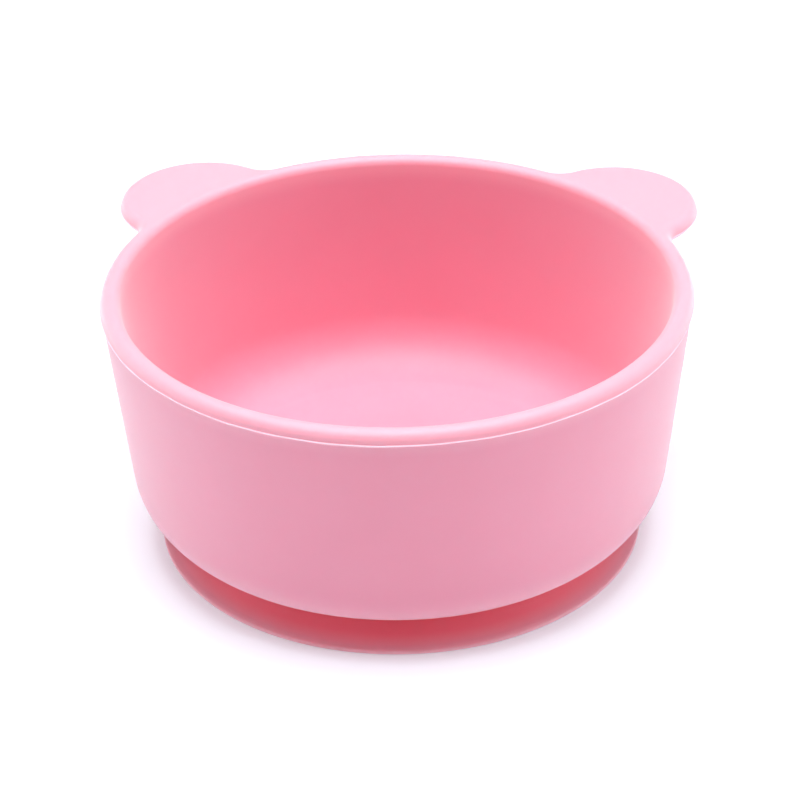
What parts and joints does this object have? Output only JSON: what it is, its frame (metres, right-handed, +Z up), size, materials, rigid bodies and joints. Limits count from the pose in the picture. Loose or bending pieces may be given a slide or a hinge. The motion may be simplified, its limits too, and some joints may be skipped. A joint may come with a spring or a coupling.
{
  "type": "suction bowl",
  "caption": "Round silicone feeding bowl with flat round ears level with its rim, plugged onto a low suction foot whose sealing lip grips the table.",
  "frame": {"origin": "on the table, under the bowl's axis", "axes": "+Z up along the bowl's axis, +X to the right, +Y to the back, between the ears"},
  "size_m": [0.1238, 0.12, 0.0566],
  "materials": {
    "bowl_silicone": "satin",
    "foot_silicone": "satin"
  },
  "bodies": {
    "foot_lip": {"cup_lip": "foot_silicone", "cup_skirt": "foot_silicone"},
    "foot_core": {"foot_hub": "foot_silicone"},
    "bowl_body": {"bowl": "bowl_silicone"},
    "tab": {"release_tab": "foot_silicone"}
  },
  "joints": [
    {"name": "suction_press", "type": "slide", "parent": "foot_lip", "child": "foot_core", "axis": [0, 0, 1], "range_m": [-0.0028, 0], "stiffness_N_per_m": 1200, "springref_m": 0.0015, "deforming": ["cup_skirt"]},
    {"name": "bowl_pull_off", "type": "slide", "parent": "foot_core", "child": "bowl_body", "axis": [0, 0, 1], "range_m": [0, 0.02]},
    {"name": "tab_peel", "type": "hinge", "parent": "foot_lip", "child": "tab", "pos_m": [0, 0.0508, 0.0019], "axis": [1, 0, 0], "range_deg": [0, 50], "stiffness_Nm_per_rad": 0.002}
  ]
}
